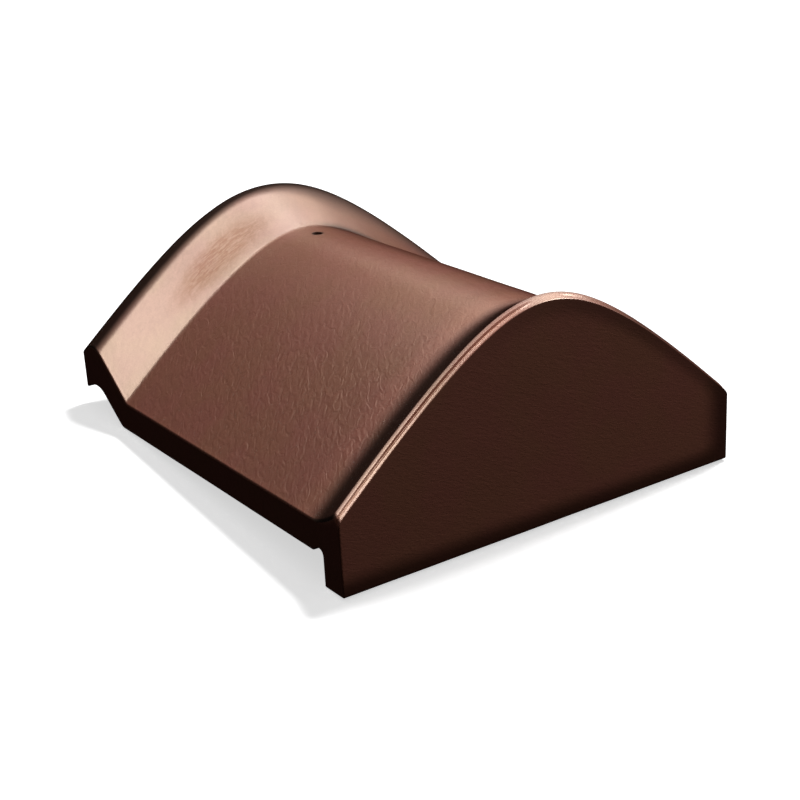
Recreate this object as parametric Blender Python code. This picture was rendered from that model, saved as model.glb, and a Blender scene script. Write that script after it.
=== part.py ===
"""A ridge end cap tile: one casting of concrete, an arched shell with a closed end and a flared collar.

The tile is drawn in its own axes: X across the ridge, Y along it from the closed end's face to the
collar's mouth, Z up from the foot of the end wall. It is then laid down as it lies by itself on level
ground, on the foot of its end wall and on its eaves, with the origin under the middle of its box.
All sizes are in metres.
"""

import math

import bmesh
import bpy
from mathutils import Matrix, Vector

# Overall sizes
WIDTH = 0.250
LENGTH = 0.278
FLANK_ANGLE_DEG = 44.2
CREST_RADIUS = 0.057
SHELL_THICKNESS = 0.0146
EAVES_FLAT = 0.003

# End wall, with the rim that stands proud of the shell
WALL_THICKNESS = 0.0165
WALL_DROP = 0.016
FACE_RISE = 0.0058
RIM_RISE = 0.0085
RIM_DEPTH = 0.0047
RIM_COVE_LENGTH = 0.0195
RIM_CORNER_RADIUS = 0.0065
GROOVE_START = 0.0019
GROOVE_BOTTOM = 0.0030
GROOVE_DEPTH = 0.0008
WALL_RELIEF_RISE = 0.005
WALL_RELIEF_LENGTH = 0.009

# Collar: lengths are measured back from the mouth, rises from the shell at the eaves
COLLAR_LENGTH = 0.054
COLLAR_TOP_FROM_END = 0.0165
COLLAR_TOP_RISE = 0.0277
COLLAR_END_RISE = 0.0181
COLLAR_FOOT_RADIUS = 0.008
COLLAR_TOP_RADIUS = 0.0215
COLLAR_CREST_SHARE = 0.79

# Throat: the hollow under the collar, measured in the same way from the shell's underside
THROAT_LENGTH = 0.045
THROAT_TOP_FROM_END = 0.017
THROAT_TOP_RISE = 0.0191
THROAT_END_RISE = 0.0127
THROAT_FOOT_RADIUS = 0.010
THROAT_TOP_RADIUS = 0.019

# Nail hole through the crest
HOLE_DIAMETER = 0.0055
HOLE_FROM_END = 0.070

# How the cove behind the rim runs out: 1 would be straight, and more is more hollow
COVE_POWER = 1.5

# How finely curves are divided
ARCH_STEPS = 44
CORNER_STEPS = 4
COVE_STEPS = 7
SHELL_STEPS = 4
ARC_STEPS = 6
HOLE_SIDES = 20
SMOOTH_ANGLE_DEG = 24.0

TILE_COLOUR = (0.105, 0.052, 0.038, 1.0)
TILE_ROUGHNESS = 0.5

HALF = WIDTH / 2
CUTTER_LENGTH = 3 * SHELL_THICKNESS
FLANK_SLOPE = math.tan(math.radians(FLANK_ANGLE_DEG))
CREST_REACH = FLANK_SLOPE * CREST_RADIUS
EAVES_SLOPE = FLANK_SLOPE * HALF / math.hypot(HALF, CREST_REACH)


def clear_scene():
    """Take away whatever the scene holds."""
    for item in list(bpy.data.objects):
        bpy.data.objects.remove(item, do_unlink=True)


def fall(x):
    """How far the arch lies below its crest at x: a hyperbola, round on top and straight at the flanks."""
    return FLANK_SLOPE * (math.hypot(x, CREST_REACH) - CREST_REACH)


def lean(x):
    """Height of a wall of unit thickness, cut upright at x."""
    slope = FLANK_SLOPE * x / math.hypot(x, CREST_REACH)
    return math.hypot(1.0, slope)


def flank_share(x):
    """0 at the crest and 1 at the eaves, growing as the arch leans over."""
    return (lean(x) - 1.0) / (lean(HALF) - 1.0)


def under_fall(x):
    """How far the shell's underside lies below the crest at x, flat along each of the eaves."""
    inner = min(abs(x), HALF - EAVES_FLAT)
    return fall(inner) + SHELL_THICKNESS * lean(inner)


CREST_HEIGHT = WALL_DROP + under_fall(HALF)


def corner_drop(x):
    """How far the rounded corner of the end wall lies below its arch at x."""
    start = HALF - RIM_CORNER_RADIUS
    reach = abs(x) - start
    slope_length = math.hypot(1.0, EAVES_SLOPE)
    if reach <= RIM_CORNER_RADIUS * EAVES_SLOPE / slope_length:
        return 0.0
    line = -EAVES_SLOPE * reach
    centre = -RIM_CORNER_RADIUS * slope_length
    return line - centre - math.sqrt(max(0.0, RIM_CORNER_RADIUS**2 - reach**2))


def rounded_line(points, radii):
    """Points (along, rise) of a line with its inner corners rounded by arcs, as far as the sides allow."""
    line = [Vector(point) for point in points]
    outline = [line[0]]
    for before, corner, after, radius in zip(line, line[1:], line[2:], radii):
        back = (before - corner).normalized()
        ahead = (after - corner).normalized()
        half_angle = back.angle(ahead) / 2
        room = min((before - corner).length, (after - corner).length) / 2
        reach = min(radius / math.tan(half_angle), room)
        centre = corner + (back + ahead).normalized() * reach / math.cos(half_angle)
        first = corner + back * reach - centre
        last = corner + ahead * reach - centre
        sweep = math.pi - 2 * half_angle
        for step in range(ARC_STEPS + 1):
            turned = sweep * step / ARC_STEPS
            spoke = first * math.sin(sweep - turned) + last * math.sin(turned)
            outline.append(centre + spoke / math.sin(sweep))
    outline.append(line[-1])
    return outline


def rim_profile():
    """The rim from the wall's face back to the shell: two narrow beads with a groove, then a cove."""
    slope = (RIM_RISE - FACE_RISE) / RIM_DEPTH
    profile = [Vector((0.0, FACE_RISE))]
    profile.append(Vector((GROOVE_START, FACE_RISE + slope * GROOVE_START)))
    profile.append(Vector((GROOVE_BOTTOM, FACE_RISE + slope * GROOVE_BOTTOM - GROOVE_DEPTH)))
    profile.append(Vector((RIM_DEPTH, RIM_RISE)))
    for step in range(1, COVE_STEPS + 1):
        along = step / COVE_STEPS
        rise = RIM_RISE * (1.0 - along) ** COVE_POWER
        profile.append(Vector((RIM_DEPTH + along * RIM_COVE_LENGTH, rise)))
    return profile


def collar_profile():
    """The outer side of the collar: up a straight ramp, over a round top and down to the mouth."""
    foot = LENGTH - COLLAR_LENGTH
    shell_middle = (foot + RIM_DEPTH + RIM_COVE_LENGTH) / 2
    points = [
        (shell_middle, 0.0),
        (foot, 0.0),
        (LENGTH - COLLAR_TOP_FROM_END, COLLAR_TOP_RISE),
        (LENGTH, COLLAR_END_RISE),
    ]
    return rounded_line(points, (COLLAR_FOOT_RADIUS, COLLAR_TOP_RADIUS))


def throat_profile():
    """The underside from the end wall to the mouth."""
    foot = LENGTH - THROAT_LENGTH
    points = [
        (WALL_THICKNESS + WALL_RELIEF_LENGTH, 0.0),
        (foot, 0.0),
        (LENGTH - THROAT_TOP_FROM_END, THROAT_TOP_RISE),
        (LENGTH, THROAT_END_RISE),
    ]
    return rounded_line(points, (THROAT_FOOT_RADIUS, THROAT_TOP_RADIUS))


def section(x):
    """The closed outline of the tile, cut along the ridge at x."""
    crest = CREST_HEIGHT - fall(x)
    under = CREST_HEIGHT - under_fall(x)
    share = flank_share(x)
    flare = COLLAR_CREST_SHARE + (1.0 - COLLAR_CREST_SHARE) * share
    outline = [Vector((x, 0.0, 0.0))]
    for along, rise in rim_profile():
        drop = corner_drop(x) * min(1.0, rise / FACE_RISE)
        outline.append(Vector((x, along, crest + rise - drop)))
    collar = collar_profile()
    shell_start = outline[-1].y
    for step in range(1, SHELL_STEPS):
        along = shell_start + (collar[1].x - shell_start) * step / SHELL_STEPS
        outline.append(Vector((x, along, crest)))
    for along, rise in collar[1:]:
        outline.append(Vector((x, along, crest + rise * flare)))
    for along, rise in reversed(throat_profile()):
        outline.append(Vector((x, along, under + rise * flare)))
    outline.append(Vector((x, WALL_THICKNESS, under + WALL_RELIEF_RISE * share)))
    outline.append(Vector((x, WALL_THICKNESS, 0.0)))
    return outline


def columns():
    """Where across the tile its sections are cut: evenly, and closer at the rounded corners of the wall."""
    inner = HALF - EAVES_FLAT
    across = [inner * (2 * step / ARCH_STEPS - 1) for step in range(ARCH_STEPS + 1)]
    corner_angle = math.atan(EAVES_SLOPE)
    for step in range(CORNER_STEPS + 1):
        angle = corner_angle + (math.pi / 2 - corner_angle) * step / CORNER_STEPS
        edge = HALF - RIM_CORNER_RADIUS * (1.0 - math.sin(angle))
        if edge > inner:
            across.append(edge)
            across.insert(0, -edge)
    return across


def loft(sections):
    """A closed mesh through sections with as many points each."""
    mesh = bmesh.new()
    rings = [[mesh.verts.new(point) for point in outline] for outline in sections]
    count = len(rings[0])
    for ring, following in zip(rings, rings[1:]):
        for i in range(count):
            j = (i + 1) % count
            mesh.faces.new((ring[i], ring[j], following[j], following[i]))
    mesh.faces.new(reversed(rings[0]))
    mesh.faces.new(rings[-1])
    bmesh.ops.recalc_face_normals(mesh, faces=mesh.faces)
    return mesh


def lying_tilt(outline):
    """The angle by which the tile tips over the inner edge of its wall's foot until its eaves touch the ground."""
    above_foot = [point for point in outline if point.z > 0.0]
    return min(math.atan2(point.z, point.y - WALL_THICKNESS) for point in above_foot)


def tile_material():
    """Brown concrete, finished with a thin satin coat."""
    material = bpy.data.materials.new("brown_concrete")
    material.use_nodes = True
    shader = material.node_tree.nodes["Principled BSDF"]
    shader.inputs["Base Color"].default_value = TILE_COLOUR
    shader.inputs["Roughness"].default_value = TILE_ROUGHNESS
    shader.inputs["Metallic"].default_value = 0.0
    return material


def nail_cutter(placing):
    """The rod that makes the nail hole, longer than the shell is thick."""
    crest = CREST_HEIGHT - SHELL_THICKNESS / 2
    place = Vector((0.0, LENGTH - HOLE_FROM_END, crest))
    bpy.ops.mesh.primitive_cylinder_add(
        vertices=HOLE_SIDES, radius=HOLE_DIAMETER / 2, depth=CUTTER_LENGTH
    )
    cutter = bpy.context.object
    cutter.name = "nail_hole_cutter"
    cutter.matrix_world = placing @ Matrix.Translation(place)
    cutter.hide_render = True
    cutter.display_type = "WIRE"
    return cutter


def lying_placement(points, tilt):
    """Tip the tile, then set the middle of its box over the origin and its lowest point on the ground."""
    turn = Matrix.Rotation(-tilt, 4, "X")
    turned = [turn @ point for point in points]
    middle = (min(p.y for p in turned) + max(p.y for p in turned)) / 2
    lowest = min(p.z for p in turned)
    return Matrix.Translation((0.0, -middle, -lowest)) @ turn


def build_tile():
    """The whole tile, one casting."""
    sections = [section(x) for x in columns()]
    points = [point for outline in sections for point in outline]
    placing = lying_placement(points, lying_tilt(sections[0]))
    shape = loft(sections)
    data = bpy.data.meshes.new("ridge_end_tile")
    shape.to_mesh(data)
    shape.free()
    data.shade_smooth()
    data.set_sharp_from_angle(angle=math.radians(SMOOTH_ANGLE_DEG))
    data.materials.append(tile_material())
    tile = bpy.data.objects.new("ridge_end_tile", data)
    bpy.context.collection.objects.link(tile)
    tile.matrix_world = placing
    hole = tile.modifiers.new("nail_hole", "BOOLEAN")
    hole.operation = "DIFFERENCE"
    hole.solver = "EXACT"
    hole.object = nail_cutter(placing)
    return tile


clear_scene()
build_tile()
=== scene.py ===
"""The looks of the ridge end cap tile: its fine mesh, its concrete, the floor, the lights and the camera.

The tile is drawn in its own axes, as its source is: X across the ridge, Y along it from the closed end's
face to the collar's mouth, Z up from the foot of the end wall. It is then laid down as it lies by itself.
All sizes are in metres.
"""

import math

import bmesh
import bpy
from mathutils import Matrix, Vector, noise


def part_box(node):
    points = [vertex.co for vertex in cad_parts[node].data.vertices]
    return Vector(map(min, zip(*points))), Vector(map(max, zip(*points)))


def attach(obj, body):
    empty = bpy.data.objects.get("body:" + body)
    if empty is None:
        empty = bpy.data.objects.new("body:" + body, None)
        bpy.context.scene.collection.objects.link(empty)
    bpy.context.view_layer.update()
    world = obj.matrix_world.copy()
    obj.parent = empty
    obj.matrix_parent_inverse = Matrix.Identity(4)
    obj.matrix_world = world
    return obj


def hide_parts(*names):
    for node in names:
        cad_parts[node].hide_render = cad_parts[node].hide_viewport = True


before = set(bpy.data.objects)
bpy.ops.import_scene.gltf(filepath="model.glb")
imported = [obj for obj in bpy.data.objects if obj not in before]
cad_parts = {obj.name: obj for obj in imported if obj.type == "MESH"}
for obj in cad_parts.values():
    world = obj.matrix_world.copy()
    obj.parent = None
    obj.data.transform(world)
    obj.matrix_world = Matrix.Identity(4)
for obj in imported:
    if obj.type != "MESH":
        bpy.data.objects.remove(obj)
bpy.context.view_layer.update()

NODE = "ridge_end_tile"

# Overall sizes
WIDTH = 0.250
LENGTH = 0.278
FLANK_ANGLE_DEG = 44.2
CREST_RADIUS = 0.057
SHELL_THICKNESS = 0.0146
EAVES_FLAT = 0.003

# End wall and its rim
WALL_THICKNESS = 0.0165
WALL_DROP = 0.016
FACE_RISE = 0.0058
RIM_RISE = 0.0085
RIM_DEPTH = 0.0047
RIM_COVE_LENGTH = 0.0195
RIM_CORNER_RADIUS = 0.0065
WALL_RELIEF_RISE = 0.005
WALL_RELIEF_LENGTH = 0.009
COVE_POWER = 1.5

# The two beads of the rim and the groove between them, which fades out at the crest
GROOVE_START = 0.0013
GROOVE_BOTTOM = 0.0022
GROOVE_END = 0.0030
GROOVE_DEPTH = 0.00065
GROOVE_EAVES_SHARE = 0.3
GROOVE_FADE_START = 0.006
GROOVE_FADE_END = 0.022
FRONT_BEAD_RADIUS = 0.0007
GROOVE_LIP_RADIUS = 0.0004
BACK_BEAD_RADIUS = 0.0007

# Collar
COLLAR_LENGTH = 0.054
COLLAR_TOP_FROM_END = 0.0165
COLLAR_TOP_RISE = 0.0277
COLLAR_END_RISE = 0.0181
COLLAR_FOOT_RADIUS = 0.006
COLLAR_TOP_RADIUS = 0.0215
COLLAR_CREST_SHARE = 0.79

# Throat under the collar
THROAT_LENGTH = 0.045
THROAT_TOP_FROM_END = 0.017
THROAT_TOP_RISE = 0.0191
THROAT_END_RISE = 0.0127
THROAT_FOOT_RADIUS = 0.010
THROAT_TOP_RADIUS = 0.019

# Nail hole, a little wider where it leaves the shell on either side
HOLE_DIAMETER = 0.0055
HOLE_FROM_END = 0.070
HOLE_LIP = 0.0004
HOLE_LIP_DEPTH = 2 * HOLE_LIP
HOLE_FLARE = 3 * HOLE_LIP
HOLE_SIDES = 48

# Arrises, rounded by the mould
SECTION_ARRIS = 0.0011
SIDE_ARRIS = 0.0009
INNER_FILLET = 0.003
NORMAL_WINDOW = 0.0012
LEAST_ARC_REACH = 0.00015

# Shallow unevenness of the cast surface: how deep it goes and how long its waves are
UNEVEN_DEPTH = 0.00016
UNEVEN_WAVE = 0.030

# How finely the mesh is divided
EVEN_COLUMNS = 150
CORNER_COLUMNS = 12
ARC_STEPS = 6
BEAD_STEPS = 8
LONG_ARC_STEPS = 14
COVE_STEPS = 14
FACE_PARTS = 62
SHELL_PARTS = 80
RAMP_PARTS = 22
TOP_PARTS = 5
MOUTH_PARTS = 8
THROAT_END_PARTS = 4
THROAT_PARTS = 10
UNDER_PARTS = 60
RELIEF_PARTS = 3
INNER_FACE_PARTS = 30
FOOT_PARTS = 6
SMOOTH_ANGLE_DEG = 40.0
FLAT_FACE_POINTS = 4 * HOLE_SIDES

# Sizes that follow from the ones above
HALF = WIDTH / 2
FLANK_SLOPE = math.tan(math.radians(FLANK_ANGLE_DEG))
CREST_REACH = FLANK_SLOPE * CREST_RADIUS
EAVES_SLOPE = FLANK_SLOPE * HALF / math.hypot(HALF, CREST_REACH)
COLLAR_FOOT = LENGTH - COLLAR_LENGTH
HOLE_PLACE = LENGTH - HOLE_FROM_END
GROOVE_THINNER = (HALF / 2, HALF)

# How a face leans that counts as the tile's top, as one of its ends and as the end wall's own face,
# and how near to the top, the front and the mouth a point of it lies
TOP_LEAN = 0.2
END_LEAN = 0.8
FACE_LEAN = (0.5, 0.9)
NEAR = 0.001
NEAR_MOUTH = 0.002

# Where painted shade makes the top and the rim darker, and how much of the concrete's colour is left there
COVE_DARK = 0.07
COVE_DARK_START = (0.0037, 0.0053)
COVE_DARK_END = 0.0115
COVE_CLEAR = 0.030
COVE_CURVE = 2.2
LIP_DARK = 0.07
LIP_CLEAR_FROM_END = 0.0245
LIP_DARK_FROM_END = 0.0175
LIP_WIDER = 0.004
LIP_WIDER_REACH = (-0.020, 0.010)
LIP_WIDER_RIGHT = 0.014
LIP_WIDER_RIGHT_REACH = (0.0, 0.040)
CREASE_DARK = 0.62
CREASE_HALF_WIDTH = 0.006
CREASE_REACH = (0.0, 0.030)
RIGHT_DARK = 0.40
RIGHT_DARK_REACH = (0.005, 0.028)
RIM_DARK_REACH = (0.025, 0.070)
HOLE_DARK = 0.15
HOLE_SHADE_FADE = 0.0012

# Where painted shade makes the end wall and the side faces darker
WALL_DARK = 0.26
WALL_FOOT_MARGIN = (0.003, 0.014)
WALL_SIDE_MARGIN = (0.004, 0.021)
WALL_RIM_MARGIN = (0.002, 0.013)
WALL_RIM_REACH = (-HALF / 2, HALF / 3)
WALL_RIM_DARK = 0.35
SIDE_DARK = 0.16
SIDE_EDGE = 0.0003
SIDE_LEAN = (0.70, 0.86)

# Where painted highlights make the concrete lighter, and by how much
EAVES_HIGHLIGHT = 1.2
EAVES_HIGHLIGHT_WIDTH = 0.0025
RIM_HIGHLIGHT = 1.4
RIM_CREST_HIGHLIGHT = 1.35
RIM_CREST_PLACE = -0.030
RIM_CREST_REACH = 0.030
SHOULDER_HIGHLIGHT = 1.16
SHOULDER_PLACE = 0.032
SHOULDER_REACH = 0.014

# The darker, browner patch on the collar's ramp: its place, its even middle, its tint, how much of the
# tint the strokes keep, and the levels of the strokes with the least and the most of it; and the rim's
# groove
PATCH_CENTRE = (-0.048, 0.2380)
PATCH_REACH = (0.043, 0.0125)
PATCH_CORE = 0.35
PATCH_TINT = (0.74, 0.58, 0.47)
PATCH_GROUND = 0.40
PATCH_STROKE_LEVELS = (0.70, 0.35)
GROOVE_TINT_SHARE = 0.8

# Colours of the concrete: its matt body and its satin skin, each between two tones
WHITE = (1.0, 1.0, 1.0)
BODY_TONES = ((0.0464, 0.0173, 0.0110), (0.0481, 0.0164, 0.0117))
SKIN_TONES = ((0.992, 0.752, 0.566), (1.0, 0.730, 0.580))
TONE_LEVELS = (0.35, 0.65)
SPECKLE_SHARE = 0.10
STREAK_SHARE = 0.10
SKIN_LEVEL = 0.5
EDGE_GLOSS_WHOLE = 0.68
EDGE_GLOSS_NONE = 0.98
SKIN_ROUGHNESS = 0.34
ROUGHNESS_SWING = 0.06
# More roughness where shade is painted in the cove and on the lip
PAINTED_DARK_ROUGHNESS = 0.30

# How strongly the strokes show on the shell, the end wall's face, the ramp, its tinted patch and the rim
SHELL_SWEEP = 1.05
CREST_SWEEP = 0.35
CREST_SWEEP_REACH = (0.030, 0.095)
FACE_SWEEP = 0.34
FACE_SWEEP_MARGIN = (0.001, 0.005)
HIDDEN_SWEEP = 0.20
RAMP_SWEEP = 0.06
RAMP_EDGE = 0.004
PATCH_SWEEP = 0.13
RIM_SWEEP = 0.08

# The size of one stroke along each axis, and how far the strokes are turned about each axis
SHELL_STROKE = (0.0029, 0.0062, 0.0062)
SHELL_TURN_DEG = (0.0, 0.0, 35.0)
FACE_STROKE = (0.0050, 0.0050, 0.0014)
FACE_TURN_DEG = (0.0, -20.0, 0.0)
PATCH_STROKE = (0.0060, 0.0011, 0.0060)
NO_TURN = (0.0, 0.0, 0.0)

# The size of a blotch, a speck and a grain
TONE_PATCH = (0.030, 0.030, 0.030)
SPECKLE_SIZE = (0.0011, 0.0011, 0.0011)
GRAIN_SIZE = (0.0007, 0.0007, 0.0007)

# The make of each pattern: its detail, its roughness and, for strokes, its distortion
SHELL_PATTERN = (1.0, 0.40, 1.0)
FACE_PATTERN = (2.0, 0.55, 1.0)
PATCH_PATTERN = (2.0, 0.55, 0.8)
TONE_PATTERN = (2.0, 0.5)
SPECKLE_PATTERN = (1.0, 0.5)
GRAIN_PATTERN = (2.0, 0.6)

# How high the relief of the material stands
MILLIMETRE = 0.001
STROKE_HEIGHT_MM = 0.34
GRAIN_HEIGHT_MM = 0.035

# The floor, with an even glow of its own
FLOOR_SIZE = 7.0
FLOOR_COLOUR = (0.85, 0.85, 0.85)
FLOOR_GLOW = 0.61

# Lamps for the tile alone: name, height and compass angle in degrees, power in watts and colour
LAMP_DISTANCE = 1.6
LAMP_SIZE = 0.5
LAMP_AIM = (0.0, 0.0, 0.05)
WARM = (1.0, 0.88, 0.78)
AMBER = (1.0, 0.80, 0.64)
TILE_LAMPS = (
    ("front_low", 8.0, 270.0, 4.1, AMBER),
    ("right_low", 25.0, 22.5, 2.1, WARM),
    ("back_right_low", 34.0, 60.0, 2.1, AMBER),
    ("right_rim", 42.0, 22.5, 8.6, WARM),
    ("right_fill", 42.0, 337.5, 64.0, WHITE),
    ("back", 50.0, 78.5, 3.6, AMBER),
    ("back_left", 50.0, 101.0, 2.9, WARM),
    ("left_key", 50.0, 168.5, 28.5, WHITE),
    ("right_high", 58.0, 22.5, 9.3, WHITE),
    ("top_right", 66.0, 45.0, 14.0, WHITE),
    ("top_left", 66.0, 135.0, 21.0, WHITE),
    ("top_back", 74.0, 90.0, 12.8, WHITE),
)

# One more lamp for the tile, which shines in at the mouth and adds no gloss
MOUTH_LAMP_HEIGHT_DEG = 3.0
MOUTH_LAMP_COMPASS_DEG = 90.0
MOUTH_LAMP_POWER = 40.0

# Lamps for the floor alone: one that casts the tile's shadow, and a wide one straight above
FLOOR_KEY_HEIGHT_DEG = 60.0
FLOOR_KEY_COMPASS_DEG = 18.0
FLOOR_KEY_DISTANCE = 6.0
FLOOR_KEY_SIZE = 1.0
FLOOR_KEY_POWER = 330.0
FLOOR_WASH_HEIGHT = 5.0
FLOOR_WASH_SIZE = 12.0
FLOOR_WASH_POWER = 110.0
FLOOR_WASH_AIM = (0.0, 0.0, 0.0)

# The camera, as the photograph was taken
CAMERA_PLACE = (-0.45917, -0.67283, 0.38735)
CAMERA_AIM = (0.02626, 0.02744, 0.0)
CAMERA_ROLL_DEG = -0.56
CAMERA_LENS_MM = 70.62
CAMERA_SENSOR_MM = 36.0
CAMERA_FAR_END = 50.0


def fall(x):
    """How far the arch lies below its crest at x."""
    return FLANK_SLOPE * (math.hypot(x, CREST_REACH) - CREST_REACH)


def lean(x):
    """Height of a wall of unit thickness, cut upright at x."""
    slope = FLANK_SLOPE * x / math.hypot(x, CREST_REACH)
    return math.hypot(1.0, slope)


def flank_share(x):
    """0 at the crest and 1 at the eaves."""
    return (lean(x) - 1.0) / (lean(HALF) - 1.0)


def under_fall(x):
    """How far the shell's underside lies below the crest at x, flat along each of the eaves."""
    inner = min(abs(x), HALF - EAVES_FLAT)
    return fall(inner) + SHELL_THICKNESS * lean(inner)


CREST_HEIGHT = WALL_DROP + under_fall(HALF)


def smooth(value, start, end):
    """0 before start, 1 after end, and an even rise between them."""
    share = min(1.0, max(0.0, (value - start) / (end - start)))
    return share * share * (3.0 - 2.0 * share)


def dimmed(dark, share):
    """1 where share is 0, and dark where it is 1."""
    return 1.0 - (1.0 - dark) * share


def lightened(light, share):
    """1 where share is 0, and light where it is 1."""
    return 1.0 + (light - 1.0) * share


def corner_drop(x):
    """How far the rounded corner of the end wall lies below its arch at x."""
    start = HALF - RIM_CORNER_RADIUS
    reach = abs(x) - start
    slope_length = math.hypot(1.0, EAVES_SLOPE)
    if reach <= RIM_CORNER_RADIUS * EAVES_SLOPE / slope_length:
        return 0.0
    line = -EAVES_SLOPE * reach
    centre = -RIM_CORNER_RADIUS * slope_length
    return line - centre - math.sqrt(max(0.0, RIM_CORNER_RADIUS**2 - reach**2))


class Corner:
    """One corner of the tile's outline: its place, its rounding and how the side after it is divided."""

    def __init__(self, along, height, radius=0.0, parts=1, arc_steps=ARC_STEPS):
        self.place = Vector((along, height))
        self.radius = radius
        self.parts = parts
        self.arc_steps = arc_steps


def rim_corners(x, crest):
    """The end wall's face and the rim's two beads."""
    drop = corner_drop(x)
    slope = (RIM_RISE - FACE_RISE) / RIM_DEPTH
    edge = crest + FACE_RISE - drop
    groove = GROOVE_DEPTH * smooth(abs(x), GROOVE_FADE_START, GROOVE_FADE_END)
    groove *= dimmed(GROOVE_EAVES_SHARE, smooth(abs(x), *GROOVE_THINNER))
    return [
        Corner(0.0, 0.0, SECTION_ARRIS, FACE_PARTS),
        Corner(0.0, edge, FRONT_BEAD_RADIUS, 1, BEAD_STEPS),
        Corner(GROOVE_START, edge + slope * GROOVE_START, GROOVE_LIP_RADIUS),
        Corner(GROOVE_BOTTOM, edge + slope * GROOVE_BOTTOM - groove, GROOVE_LIP_RADIUS),
        Corner(GROOVE_END, edge + slope * GROOVE_END, GROOVE_LIP_RADIUS),
        Corner(RIM_DEPTH, crest + RIM_RISE - drop, BACK_BEAD_RADIUS),
    ]


def cove_corners(x, crest):
    """The hollow curve from the rim down to the shell."""
    drop = corner_drop(x)
    corners = []
    for step in range(1, COVE_STEPS + 1):
        share = step / COVE_STEPS
        rise = RIM_RISE * (1.0 - share) ** COVE_POWER
        lowered = drop * min(1.0, rise / FACE_RISE)
        corners.append(Corner(RIM_DEPTH + share * RIM_COVE_LENGTH, crest + rise - lowered))
    corners[-1].parts = SHELL_PARTS
    return corners


def collar_corners(crest, flare):
    """Up the ramp, over the collar's round top and down to the mouth."""
    top = LENGTH - COLLAR_TOP_FROM_END
    top_height = crest + COLLAR_TOP_RISE * flare
    return [
        Corner(COLLAR_FOOT, crest, COLLAR_FOOT_RADIUS, RAMP_PARTS, LONG_ARC_STEPS),
        Corner(top, top_height, COLLAR_TOP_RADIUS, TOP_PARTS, LONG_ARC_STEPS),
        Corner(LENGTH, crest + COLLAR_END_RISE * flare, SECTION_ARRIS, MOUTH_PARTS),
    ]


def hollow_corners(under, share, flare):
    """The mouth's inner edge, the throat, the shell's underside and the inner face of the end wall."""
    top = LENGTH - THROAT_TOP_FROM_END
    relief = WALL_THICKNESS + WALL_RELIEF_LENGTH
    return [
        Corner(LENGTH, under + THROAT_END_RISE * flare, SECTION_ARRIS, THROAT_END_PARTS),
        Corner(top, under + THROAT_TOP_RISE * flare, THROAT_TOP_RADIUS, THROAT_PARTS, LONG_ARC_STEPS),
        Corner(LENGTH - THROAT_LENGTH, under, THROAT_FOOT_RADIUS, UNDER_PARTS),
        Corner(relief, under, INNER_FILLET, RELIEF_PARTS),
        Corner(WALL_THICKNESS, under + WALL_RELIEF_RISE * share, INNER_FILLET, INNER_FACE_PARTS),
        Corner(WALL_THICKNESS, 0.0, SECTION_ARRIS, FOOT_PARTS),
    ]


def arc_at(before, corner, after):
    """The points of one rounded corner, between the corners before and after it."""
    if corner.radius == 0.0:
        return [corner.place]
    back = before.place - corner.place
    ahead = after.place - corner.place
    room = min(back.length, ahead.length) / 2
    back.normalize()
    ahead.normalize()
    half_angle = back.angle(ahead) / 2
    reach = min(max(corner.radius / math.tan(half_angle), LEAST_ARC_REACH), room)
    first = corner.place + back * reach
    last = corner.place + ahead * reach
    weight = math.sin(half_angle)
    points = []
    for step in range(corner.arc_steps + 1):
        share = step / corner.arc_steps
        pull = 2 * weight * share * (1.0 - share)
        total = (1.0 - share) ** 2 + pull + share**2
        points.append((first * (1.0 - share) ** 2 + corner.place * pull + last * share**2) / total)
    return points


def outline_at(x):
    """The closed outline of the tile cut along the ridge at x, as (along, height) points."""
    crest = CREST_HEIGHT - fall(x)
    under = CREST_HEIGHT - under_fall(x)
    share = flank_share(x)
    flare = COLLAR_CREST_SHARE + (1.0 - COLLAR_CREST_SHARE) * share
    corners = rim_corners(x, crest) + cove_corners(x, crest)
    corners += collar_corners(crest, flare) + hollow_corners(under, share, flare)
    count = len(corners)
    arcs = []
    for i, corner in enumerate(corners):
        arcs.append(arc_at(corners[i - 1], corner, corners[(i + 1) % count]))
    outline = []
    for i, corner in enumerate(corners):
        outline.extend(arcs[i])
        start = arcs[i][-1]
        end = arcs[(i + 1) % count][0]
        for part in range(1, corner.parts):
            outline.append(start.lerp(end, part / corner.parts))
    return outline


def neighbour(outline, i, step):
    """The first point that lies a little way along the outline from point i."""
    count = len(outline)
    far = i
    gone = 0.0
    while gone < NORMAL_WINDOW:
        following = (far + step) % count
        gone += (outline[following] - outline[far]).length
        far = following
    return outline[far]


def inset(outline, depth):
    """The outline moved inward by depth, for the rounded arris of a side face."""
    moved = []
    for i, point in enumerate(outline):
        run = neighbour(outline, i, 1) - neighbour(outline, i, -1)
        inward = Vector((run.y, -run.x)).normalized()
        moved.append(point + inward * depth)
    return moved


def side_inset(x):
    """How deep the side arris cuts into the outline at x."""
    reach = abs(x) - (HALF - SIDE_ARRIS)
    if reach <= 0.0:
        return 0.0
    return SIDE_ARRIS - math.sqrt(max(0.0, SIDE_ARRIS**2 - reach**2))


def columns():
    """Where across the tile it is cut: evenly, and closer at the rounded corners of the wall."""
    corner_angle = math.atan(EAVES_SLOPE)
    inner = HALF - RIM_CORNER_RADIUS * (1.0 - math.sin(corner_angle))
    across = [inner * (2 * step / EVEN_COLUMNS - 1) for step in range(EVEN_COLUMNS + 1)]
    for step in range(1, CORNER_COLUMNS + 1):
        angle = corner_angle + (math.pi / 2 - corner_angle) * step / CORNER_COLUMNS
        edge = HALF - RIM_CORNER_RADIUS * (1.0 - math.sin(angle))
        across.append(edge)
        across.insert(0, -edge)
    return across


def section(x):
    """The outline at x as points in space."""
    outline = outline_at(x)
    depth = side_inset(x)
    if depth > 0.0:
        outline = inset(outline, depth)
    return [Vector((x, point.x, point.y)) for point in outline]


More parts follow.
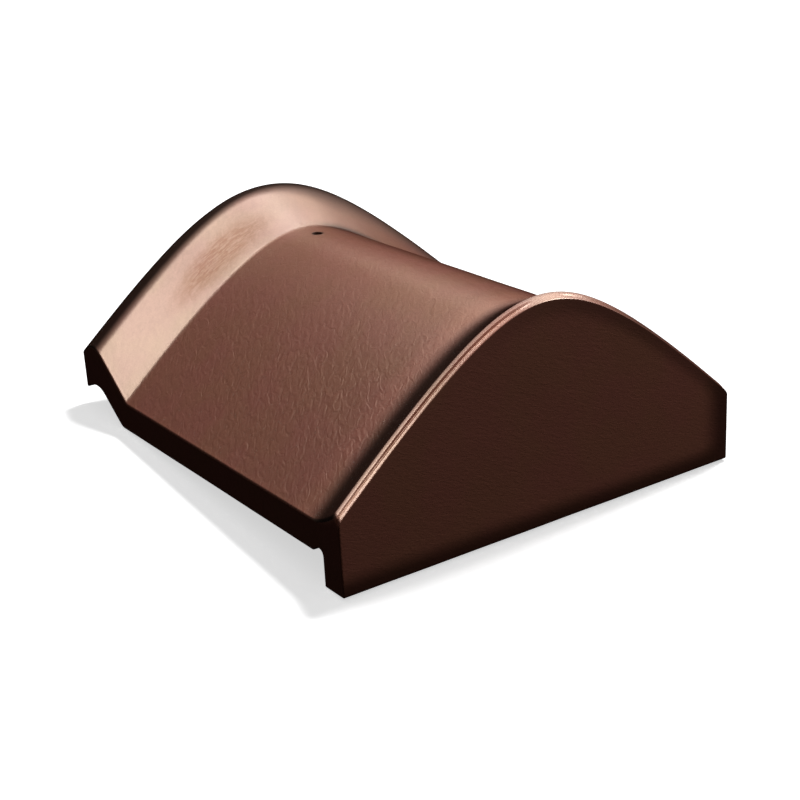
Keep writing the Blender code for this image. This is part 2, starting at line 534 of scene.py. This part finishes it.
def join_rings(shape, rings):
    """Faces between each ring of points and the next, and one at either end."""
    count = len(rings[0])
    for ring, following in zip(rings, rings[1:]):
        for i in range(count):
            j = (i + 1) % count
            shape.faces.new((ring[i], ring[j], following[j], following[i]))
    shape.faces.new(reversed(rings[0]))
    shape.faces.new(rings[-1])
    bmesh.ops.recalc_face_normals(shape, faces=shape.faces)


def mesh_of(name, outlines):
    """A closed mesh through outlines with as many points each."""
    shape = bmesh.new()
    rings = [[shape.verts.new(point) for point in outline] for outline in outlines]
    join_rings(shape, rings)
    data = bpy.data.meshes.new(name)
    shape.to_mesh(data)
    shape.free()
    return data


def cad_corners():
    """The sharp corners of the tile's outline at its eaves, as the solid has them."""
    under = CREST_HEIGHT - under_fall(HALF)
    corners = (
        (LENGTH, THROAT_END_RISE),
        (LENGTH - THROAT_LENGTH, 0.0),
        (WALL_THICKNESS + WALL_RELIEF_LENGTH, 0.0),
    )
    return [Vector((HALF, along, under + rise)) for along, rise in corners]


def lying_placement():
    """The tile tipped over its wall's inner foot edge until its eaves touch the ground, over the origin."""
    tilt = min(math.atan2(point.z, point.y - WALL_THICKNESS) for point in cad_corners())
    turn = Matrix.Rotation(-tilt, 4, "X")
    low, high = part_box(NODE)
    foot = turn @ Vector((0.0, WALL_THICKNESS, 0.0))
    front = turn @ Vector((0.0, 0.0, CREST_HEIGHT + FACE_RISE))
    shift = Vector((0.0, low.y - min(front.y, 0.0), -foot.z))
    return Matrix.Translation(shift) @ turn


def hole_profile():
    """The nail hole's half outline from above the shell to below it, as (reach, height) points."""
    radius = HOLE_DIAMETER / 2
    top = CREST_HEIGHT
    bottom = CREST_HEIGHT - SHELL_THICKNESS
    return [
        (radius + HOLE_FLARE, top + HOLE_LIP_DEPTH),
        (radius + HOLE_LIP, top),
        (radius, top - HOLE_LIP_DEPTH),
        (radius, bottom + HOLE_LIP_DEPTH),
        (radius + HOLE_LIP, bottom),
        (radius + HOLE_FLARE, bottom - HOLE_LIP_DEPTH),
    ]


def hole_cutter(placing):
    """A turned rod that makes the nail hole."""
    rings = []
    for reach, height in hole_profile():
        ring = []
        for side in range(HOLE_SIDES):
            angle = 2 * math.pi * side / HOLE_SIDES
            along = HOLE_PLACE + reach * math.sin(angle)
            ring.append(Vector((reach * math.cos(angle), along, height)))
        rings.append(ring)
    cutter = bpy.data.objects.new("nail_hole_cutter", mesh_of("nail_hole_cutter", rings))
    cutter.matrix_world = placing
    bpy.context.collection.objects.link(cutter)
    return cutter


def cut_hole(tile, placing):
    """Take the nail hole out of the tile's mesh."""
    cutter = hole_cutter(placing)
    cut = tile.modifiers.new("nail_hole", "BOOLEAN")
    cut.operation = "DIFFERENCE"
    cut.solver = "EXACT"
    cut.object = cutter
    bpy.context.view_layer.update()
    depsgraph = bpy.context.evaluated_depsgraph_get()
    whole = bpy.data.meshes.new_from_object(tile.evaluated_get(depsgraph))
    tile.modifiers.clear()
    tile.data = whole
    bpy.data.objects.remove(cutter, do_unlink=True)


def on_top(place, normal):
    """Whether a place is on the upper side of the tile."""
    return normal.z > TOP_LEAN and place.z > CREST_HEIGHT - fall(place.x) - NEAR


def cove_shade(along):
    """The cove behind the rim, with painted shade."""
    before = 1.0 - smooth(along, *COVE_DARK_START)
    behind = smooth(along, COVE_DARK_END, COVE_CLEAR) ** COVE_CURVE
    return COVE_DARK + (1.0 - COVE_DARK) * max(before, behind)


def lip_shade(x, along):
    """The collar's round top, with painted shade towards the mouth, and over a wider band right of the
    crest.
    """
    wider = LIP_WIDER * smooth(x, *LIP_WIDER_REACH)
    wider += LIP_WIDER_RIGHT * smooth(x, *LIP_WIDER_RIGHT_REACH)
    clear = LENGTH - LIP_CLEAR_FROM_END - wider
    return dimmed(LIP_DARK, smooth(along, clear, LENGTH - LIP_DARK_FROM_END))


def crease_shade(x, along):
    """The foot of the ramp right of the crest, with painted shade in the crease."""
    gap = abs(along - COLLAR_FOOT) / CREASE_HALF_WIDTH
    return dimmed(CREASE_DARK, (1.0 - smooth(gap, 0.0, 1.0)) * smooth(x, *CREASE_REACH))


def hole_shade(x, along):
    """The nail hole, with painted shade in it that fades out just past its edge."""
    reach = math.hypot(x, along - HOLE_PLACE) - HOLE_DIAMETER / 2
    return HOLE_DARK + (1.0 - HOLE_DARK) * smooth(reach, 0.0, HOLE_SHADE_FADE)


def right_shade(x, along):
    """The rim and the shell right of the crest, with painted shade up to the collar."""
    behind_rim = smooth(along, RIM_DEPTH, COVE_CLEAR)
    before_ramp = 1.0 - smooth(along, COLLAR_FOOT, COLLAR_FOOT + CREASE_HALF_WIDTH)
    shell = behind_rim * before_ramp * smooth(x, *RIGHT_DARK_REACH)
    rim = (1.0 - behind_rim) * smooth(x, *RIM_DARK_REACH)
    return dimmed(RIGHT_DARK, shell + rim)


def eaves_highlight(x):
    """The lower edge of each flank, with a faint painted highlight."""
    return lightened(EAVES_HIGHLIGHT, smooth(HALF - abs(x), EAVES_HIGHLIGHT_WIDTH, 0.0))


def rim_and_shoulder_highlight(x, along):
    """The beads of the rim, most of all left of the crest, and the shell behind the cove, with painted
    highlights.
    """
    if along < COVE_DARK_START[1]:
        gap = abs(x - RIM_CREST_PLACE) / RIM_CREST_REACH
        return RIM_HIGHLIGHT * lightened(RIM_CREST_HIGHLIGHT, smooth(gap, 1.0, 0.0))
    gap = abs(along - SHOULDER_PLACE) / SHOULDER_REACH
    return lightened(SHOULDER_HIGHLIGHT, smooth(gap, 1.0, 0.0))


def top_shade(x, along):
    """The rim, the shell and the collar, seen from above, with their painted shade and painted highlights.
    """
    painted_shade = cove_shade(along) * lip_shade(x, along) * crease_shade(x, along)
    return painted_shade * eaves_highlight(x) * rim_and_shoulder_highlight(x, along) * right_shade(x, along)


def wall_shade(x, height):
    """The end wall's face, with painted shade along its foot, its right side and under the right half of
    its rim.
    """
    crest = CREST_HEIGHT + FACE_RISE - fall(x)
    side = smooth(HALF - x, *WALL_SIDE_MARGIN)
    foot = smooth(height, *WALL_FOOT_MARGIN)
    under_rim = (1.0 - smooth(crest - height, *WALL_RIM_MARGIN)) * smooth(x, *WALL_RIM_REACH)
    clean = side * foot * dimmed(WALL_RIM_DARK, under_rim)
    return WALL_DARK + (1.0 - WALL_DARK) * clean


def side_shade(place, normal):
    """The two side faces, with painted shade up to their rounded arrises."""
    if abs(place.x) > HALF - SIDE_EDGE:
        return SIDE_DARK
    return dimmed(SIDE_DARK, smooth(abs(normal.x), *SIDE_LEAN))


def shade_at(place, normal):
    """How much of the concrete's colour shows at a place in the tile's own axes: painted shade and
    highlights.
    """
    shade = 1.0
    if on_top(place, normal):
        shade = top_shade(place.x, place.y)
    elif normal.y < -END_LEAN and place.y < NEAR:
        shade = wall_shade(place.x, place.z)
    # Painted shade on the mouth's end face
    elif normal.y > END_LEAN and place.y > LENGTH - NEAR_MOUTH:
        shade = LIP_DARK
    return shade * hole_shade(place.x, place.y) * side_shade(place, normal)


def patch_at(place, normal):
    """1 in the darker, browner patch on the ramp and, less, in the rim's groove."""
    if normal.z < TOP_LEAN:
        return 0.0
    if GROOVE_START < place.y < GROOVE_END:
        return GROOVE_TINT_SHARE * smooth(abs(place.x), GROOVE_FADE_START, GROOVE_FADE_END)
    across = (place.x - PATCH_CENTRE[0]) / PATCH_REACH[0]
    along = (place.y - PATCH_CENTRE[1]) / PATCH_REACH[1]
    return 1.0 - smooth(math.hypot(across, along), PATCH_CORE, 1.0)


def painted_dark_at(place, normal):
    """1 where shade is painted in the cove and on the lip, which takes the skin's gloss away, and 0
    elsewhere.
    """
    if not on_top(place, normal):
        return 0.0
    return 1.0 - cove_shade(place.y) * lip_shade(place.x, place.y)


def face_at(place, normal):
    """1 on the end wall's face and 0 elsewhere."""
    if place.y > NEAR:
        return 0.0
    return smooth(-normal.y, *FACE_LEAN)


def face_sweep(place, face):
    """How strongly the strokes show on the end wall's face, where they fade towards the rim."""
    below = CREST_HEIGHT + FACE_RISE - fall(place.x) - place.z
    return RIM_SWEEP + (FACE_SWEEP - RIM_SWEEP) * face * smooth(below, *FACE_SWEEP_MARGIN)


def sweep_at(place, normal):
    """How strongly the strokes of the surface show."""
    face = face_at(place, normal)
    if place.y < COVE_DARK_END and normal.z > TOP_LEAN:
        return RIM_SWEEP
    if face > 0.0:
        return face_sweep(place, face)
    if normal.z < TOP_LEAN:
        return HIDDEN_SWEEP
    shell = CREST_SWEEP + (SHELL_SWEEP - CREST_SWEEP) * smooth(abs(place.x), *CREST_SWEEP_REACH)
    ramp = RAMP_SWEEP + (PATCH_SWEEP - RAMP_SWEEP) * patch_at(place, normal)
    on_ramp = smooth(place.y, COLLAR_FOOT - RAMP_EDGE, COLLAR_FOOT + RAMP_EDGE)
    return shell + (ramp - shell) * on_ramp


def uneven_depth(place):
    """How far the cast surface lies below its even form."""
    wave = noise.noise(place / UNEVEN_WAVE)
    return UNEVEN_DEPTH * (1.0 + wave) / 2


def finish_points(tile, placing):
    """Keep the shades of each point with the mesh, and press the surface in a little, unevenly."""
    back = placing.inverted()
    turn = back.to_3x3()
    kinds = {"shade": shade_at, "painted_dark": painted_dark_at, "tinted_patch": patch_at, "end_face": face_at, "sweep": sweep_at}
    for name in kinds:
        tile.data.attributes.new(name, "FLOAT", "POINT")
    kept = {name: tile.data.attributes[name].data for name in kinds}
    normals = [vertex.normal.copy() for vertex in tile.data.vertices]
    for i, vertex in enumerate(tile.data.vertices):
        place = back @ vertex.co
        normal = turn @ normals[i]
        for name, rule in kinds.items():
            kept[name][i].value = rule(place, normal)
        vertex.co -= normals[i] * uneven_depth(place)


def shade_faces(tile):
    """Smooth shading, with sharp arrises where it turns fast and the two side faces flat."""
    tile.data.shade_smooth()
    tile.data.set_sharp_from_angle(angle=math.radians(SMOOTH_ANGLE_DEG))
    for face in tile.data.polygons:
        if len(face.vertices) > FLAT_FACE_POINTS:
            face.use_smooth = False


def build_tile():
    """The whole tile as one fine mesh, laid down in its place."""
    placing = lying_placement()
    data = mesh_of("ridge_end_tile_mesh", [section(x) for x in columns()])
    data.transform(placing)
    tile = bpy.data.objects.new("concrete_ridge_end_tile", data)
    bpy.context.collection.objects.link(tile)
    cut_hole(tile, placing)
    finish_points(tile, placing)
    shade_faces(tile)
    return tile


class Nodes:
    """A short way to write a material's nodes."""

    def __init__(self, name):
        self.material = bpy.data.materials.new(name)
        self.material.use_nodes = True
        self.tree = self.material.node_tree
        self.shader = self.tree.nodes["Principled BSDF"]

    def add(self, kind, **settings):
        """A new node with its settings."""
        node = self.tree.nodes.new(kind)
        for name, value in settings.items():
            setattr(node, name, value)
        return node

    def put(self, value, target):
        """Give a socket a number, a colour or another node's output."""
        if isinstance(value, bpy.types.NodeSocket):
            self.tree.links.new(value, target)
        else:
            target.default_value = value

    def worked_out(self, node, values, output):
        """What a node makes of values."""
        for i, value in enumerate(values):
            self.put(value, node.inputs[i])
        return node.outputs[output]

    def maths(self, operation, *values):
        """A number worked out from numbers."""
        return self.worked_out(self.add("ShaderNodeMath", operation=operation), values, "Value")

    def vector(self, operation, *values):
        """A place or colour worked out from places or colours."""
        return self.worked_out(self.add("ShaderNodeVectorMath", operation=operation), values, "Vector")

    def colour_between(self, share, low, high):
        """A colour between low and high."""
        node = self.add("ShaderNodeMix", data_type="RGBA")
        self.put(share, node.inputs["Factor"])
        self.put((*low, 1.0), node.inputs["A"])
        self.put((*high, 1.0), node.inputs["B"])
        return node.outputs["Result"]

    def between(self, share, low, high):
        """A number between low and high."""
        return self.maths("MULTIPLY_ADD", self.maths("SUBTRACT", high, low), share, low)

    def varied(self, value, share):
        """1 give or take share, as value goes from 0 to 1."""
        return self.maths("MULTIPLY_ADD", value, 2 * share, 1.0 - share)

    def kept(self, name):
        """A value that is kept with the mesh."""
        return self.add("ShaderNodeAttribute", attribute_name=name).outputs["Fac"]

    def ramp(self, value, start, end):
        """0 before start and 1 after end."""
        node = self.add("ShaderNodeMapRange", interpolation_type="SMOOTHSTEP")
        self.put(value, node.inputs["Value"])
        node.inputs["From Min"].default_value = start
        node.inputs["From Max"].default_value = end
        return node.outputs["Result"]

    def pattern(self, size, make, turn_deg=NO_TURN):
        """A cloudy pattern with marks of one size, turned from the tile's directions."""
        turned = self.add("ShaderNodeMapping")
        turned.inputs["Rotation"].default_value = [math.radians(angle) for angle in turn_deg]
        self.put(self.add("ShaderNodeTexCoord").outputs["Object"], turned.inputs["Vector"])
        node = self.add("ShaderNodeTexNoise")
        self.put(self.vector("DIVIDE", turned.outputs["Vector"], size), node.inputs["Vector"])
        node.inputs["Scale"].default_value = 1.0
        for setting, value in zip(("Detail", "Roughness", "Distortion"), make):
            node.inputs[setting].default_value = value
        return node.outputs["Fac"]


def stroke_pattern(nodes):
    """Short strokes: one way on the shell, another on the end wall's face, and upright in the patch."""
    shell = nodes.pattern(SHELL_STROKE, SHELL_PATTERN, SHELL_TURN_DEG)
    face = nodes.pattern(FACE_STROKE, FACE_PATTERN, FACE_TURN_DEG)
    patch = nodes.pattern(PATCH_STROKE, PATCH_PATTERN)
    strokes = nodes.between(nodes.kept("end_face"), shell, face)
    return nodes.between(nodes.kept("tinted_patch"), strokes, patch)


def tone_of(nodes, tones, blotch, level, patch):
    """A colour between two tones, dimmed by the level and tinted in the patch."""
    colour = nodes.colour_between(blotch, *tones)
    tint = nodes.colour_between(patch, WHITE, PATCH_TINT)
    return nodes.vector("MULTIPLY", nodes.vector("MULTIPLY", colour, tint), level)


def gloss_level(nodes, painted_dark):
    """The skin's gloss, gone where shade is painted in the cove and on the lip, and fading where it is seen
    almost edge on.
    """
    clean = nodes.maths("MULTIPLY_ADD", painted_dark, -SKIN_LEVEL, SKIN_LEVEL)
    facing = nodes.add("ShaderNodeLayerWeight").outputs["Facing"]
    return nodes.maths("MULTIPLY", clean, nodes.ramp(facing, EDGE_GLOSS_NONE, EDGE_GLOSS_WHOLE))


def patch_tint_share(nodes, strokes):
    """How much of the patch's tint shows, most of all between its strokes."""
    low = nodes.ramp(strokes, *PATCH_STROKE_LEVELS)
    share = nodes.maths("MULTIPLY_ADD", low, 1.0 - PATCH_GROUND, PATCH_GROUND)
    return nodes.maths("MULTIPLY", share, nodes.kept("tinted_patch"))


def colour_concrete(nodes, shade, painted_dark, strokes):
    """The colours of the body and of the skin."""
    blotch = nodes.ramp(nodes.pattern(TONE_PATCH, TONE_PATTERN), *TONE_LEVELS)
    speckle = nodes.varied(nodes.pattern(SPECKLE_SIZE, SPECKLE_PATTERN), SPECKLE_SHARE)
    level = nodes.maths("MULTIPLY", speckle, nodes.varied(strokes, STREAK_SHARE))
    # The body and the skin carry the painted shade and painted highlights kept with each point
    body = nodes.maths("MULTIPLY", level, shade)
    skin = nodes.maths("MULTIPLY", level, nodes.between(painted_dark, shade, 1.0))
    patch = patch_tint_share(nodes, strokes)
    nodes.put(tone_of(nodes, BODY_TONES, blotch, body, patch), nodes.shader.inputs["Base Color"])
    nodes.put(tone_of(nodes, SKIN_TONES, blotch, skin, patch), nodes.shader.inputs["Specular Tint"])


def relief(nodes, strokes, grain):
    """The strokes and the grain as low relief."""
    height = nodes.maths("MULTIPLY", strokes, nodes.kept("sweep"))
    height = nodes.maths("MULTIPLY", height, STROKE_HEIGHT_MM)
    height = nodes.maths("MULTIPLY_ADD", grain, GRAIN_HEIGHT_MM, height)
    bump = nodes.add("ShaderNodeBump")
    bump.inputs["Distance"].default_value = MILLIMETRE
    nodes.put(height, bump.inputs["Height"])
    return bump.outputs["Normal"]


def concrete_material():
    """Dark brown concrete with a satin skin, sandy to the touch and swept in short strokes."""
    nodes = Nodes("brown_concrete_surface")
    shader = nodes.shader
    # Where shade is painted in the cove and on the lip
    painted_dark = nodes.kept("painted_dark")
    strokes = stroke_pattern(nodes)
    grain = nodes.pattern(GRAIN_SIZE, GRAIN_PATTERN)
    colour_concrete(nodes, nodes.kept("shade"), painted_dark, strokes)
    nodes.put(gloss_level(nodes, painted_dark), shader.inputs["Specular IOR Level"])
    swing = nodes.maths("MULTIPLY_ADD", grain, ROUGHNESS_SWING, SKIN_ROUGHNESS - ROUGHNESS_SWING / 2)
    nodes.put(nodes.maths("MULTIPLY_ADD", painted_dark, PAINTED_DARK_ROUGHNESS, swing), shader.inputs["Roughness"])
    nodes.put(relief(nodes, strokes, grain), shader.inputs["Normal"])
    return nodes.material


def floor_material():
    """Plain white paint with an even glow, which is no lamp for the tile."""
    nodes = Nodes("floor_white")
    nodes.shader.inputs["Base Color"].default_value = (*FLOOR_COLOUR, 1.0)
    nodes.shader.inputs["Roughness"].default_value = 1.0
    nodes.shader.inputs["Specular IOR Level"].default_value = 0.0
    nodes.shader.inputs["Emission Color"].default_value = (*WHITE, 1.0)
    nodes.shader.inputs["Emission Strength"].default_value = FLOOR_GLOW
    nodes.material.cycles.emission_sampling = "NONE"
    return nodes.material


def make_floor():
    """A plain floor, wide enough to fill the camera's view."""
    half = FLOOR_SIZE / 2
    corners = [(-half, -half, 0.0), (half, -half, 0.0), (half, half, 0.0), (-half, half, 0.0)]
    data = bpy.data.meshes.new("floor")
    data.from_pydata(corners, [], [(0, 1, 2, 3)])
    data.materials.append(floor_material())
    floor = bpy.data.objects.new("floor", data)
    bpy.context.collection.objects.link(floor)
    floor.visible_diffuse = False
    floor.visible_glossy = False
    return floor


def area_light(name, place, aim, size, power, colour=WHITE):
    """A soft square lamp at place, turned to aim."""
    data = bpy.data.lights.new(name, "AREA")
    data.size = size
    data.energy = power
    data.color = colour
    lamp = bpy.data.objects.new(name, data)
    bpy.context.collection.objects.link(lamp)
    direction = Vector(aim) - Vector(place)
    turn = direction.to_track_quat("-Z", "Y").to_matrix().to_4x4()
    lamp.matrix_world = Matrix.Translation(place) @ turn
    return lamp


def dome_place(height_deg, compass_deg, distance=LAMP_DISTANCE):
    """A place on the dome of lamps round the tile."""
    height = math.radians(height_deg)
    compass = math.radians(compass_deg)
    level = math.cos(height)
    direction = Vector((level * math.cos(compass), level * math.sin(compass), math.sin(height)))
    return Vector(LAMP_AIM) + direction * distance


def light_only(lamp, shown, name):
    """Let a lamp light one object alone; everything still casts its shadow in that light."""
    group = bpy.data.collections.get(name)
    if group is None:
        group = bpy.data.collections.new(name)
        group.objects.link(shown)
    lamp.light_linking.receiver_collection = group


def light_tile(tile):
    """Soft lamps all round the tile, and one that shines in at its mouth."""
    for name, height, compass, power, colour in TILE_LAMPS:
        place = dome_place(height, compass)
        lamp = area_light(name, place, LAMP_AIM, LAMP_SIZE, power, colour)
        light_only(lamp, tile, "lit_tile")
    place = dome_place(MOUTH_LAMP_HEIGHT_DEG, MOUTH_LAMP_COMPASS_DEG)
    mouth = area_light("mouth", place, LAMP_AIM, LAMP_SIZE, MOUTH_LAMP_POWER)
    mouth.visible_glossy = False
    light_only(mouth, tile, "lit_tile")


def light_floor(floor):
    """Two lamps that light the floor evenly and lay the tile's shadow on its left."""
    place = dome_place(FLOOR_KEY_HEIGHT_DEG, FLOOR_KEY_COMPASS_DEG, FLOOR_KEY_DISTANCE)
    key = area_light("floor_key", place, LAMP_AIM, FLOOR_KEY_SIZE, FLOOR_KEY_POWER)
    light_only(key, floor, "lit_floor")
    above = (0.0, 0.0, FLOOR_WASH_HEIGHT)
    wash = area_light("floor_wash", above, FLOOR_WASH_AIM, FLOOR_WASH_SIZE, FLOOR_WASH_POWER)
    light_only(wash, floor, "lit_floor")


def make_world():
    """A white surround that only the camera sees."""
    world = bpy.data.worlds.new("studio")
    bpy.context.scene.world = world
    world.use_nodes = True
    background = world.node_tree.nodes["Background"]
    background.inputs["Color"].default_value = (*WHITE, 1.0)
    background.inputs["Strength"].default_value = 1.0
    world.cycles_visibility.diffuse = False
    world.cycles_visibility.glossy = False


def make_camera():
    """The photograph's own view."""
    data = bpy.data.cameras.new("camera")
    data.lens = CAMERA_LENS_MM
    data.sensor_width = CAMERA_SENSOR_MM
    data.clip_end = CAMERA_FAR_END
    camera = bpy.data.objects.new("camera", data)
    bpy.context.collection.objects.link(camera)
    place = Vector(CAMERA_PLACE)
    direction = Vector(CAMERA_AIM) - place
    level = direction.to_track_quat("-Z", "Y").to_matrix().to_4x4()
    roll = Matrix.Rotation(math.radians(CAMERA_ROLL_DEG), 4, "Z")
    camera.matrix_world = Matrix.Translation(place) @ level @ roll
    bpy.context.scene.camera = camera


tile = build_tile()
tile.data.materials.clear()
tile.data.materials.append(concrete_material())
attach(tile, "root")
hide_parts(NODE)
floor = make_floor()
light_tile(tile)
light_floor(floor)
make_world()
make_camera()
bpy.context.scene.view_settings.view_transform = "Standard"
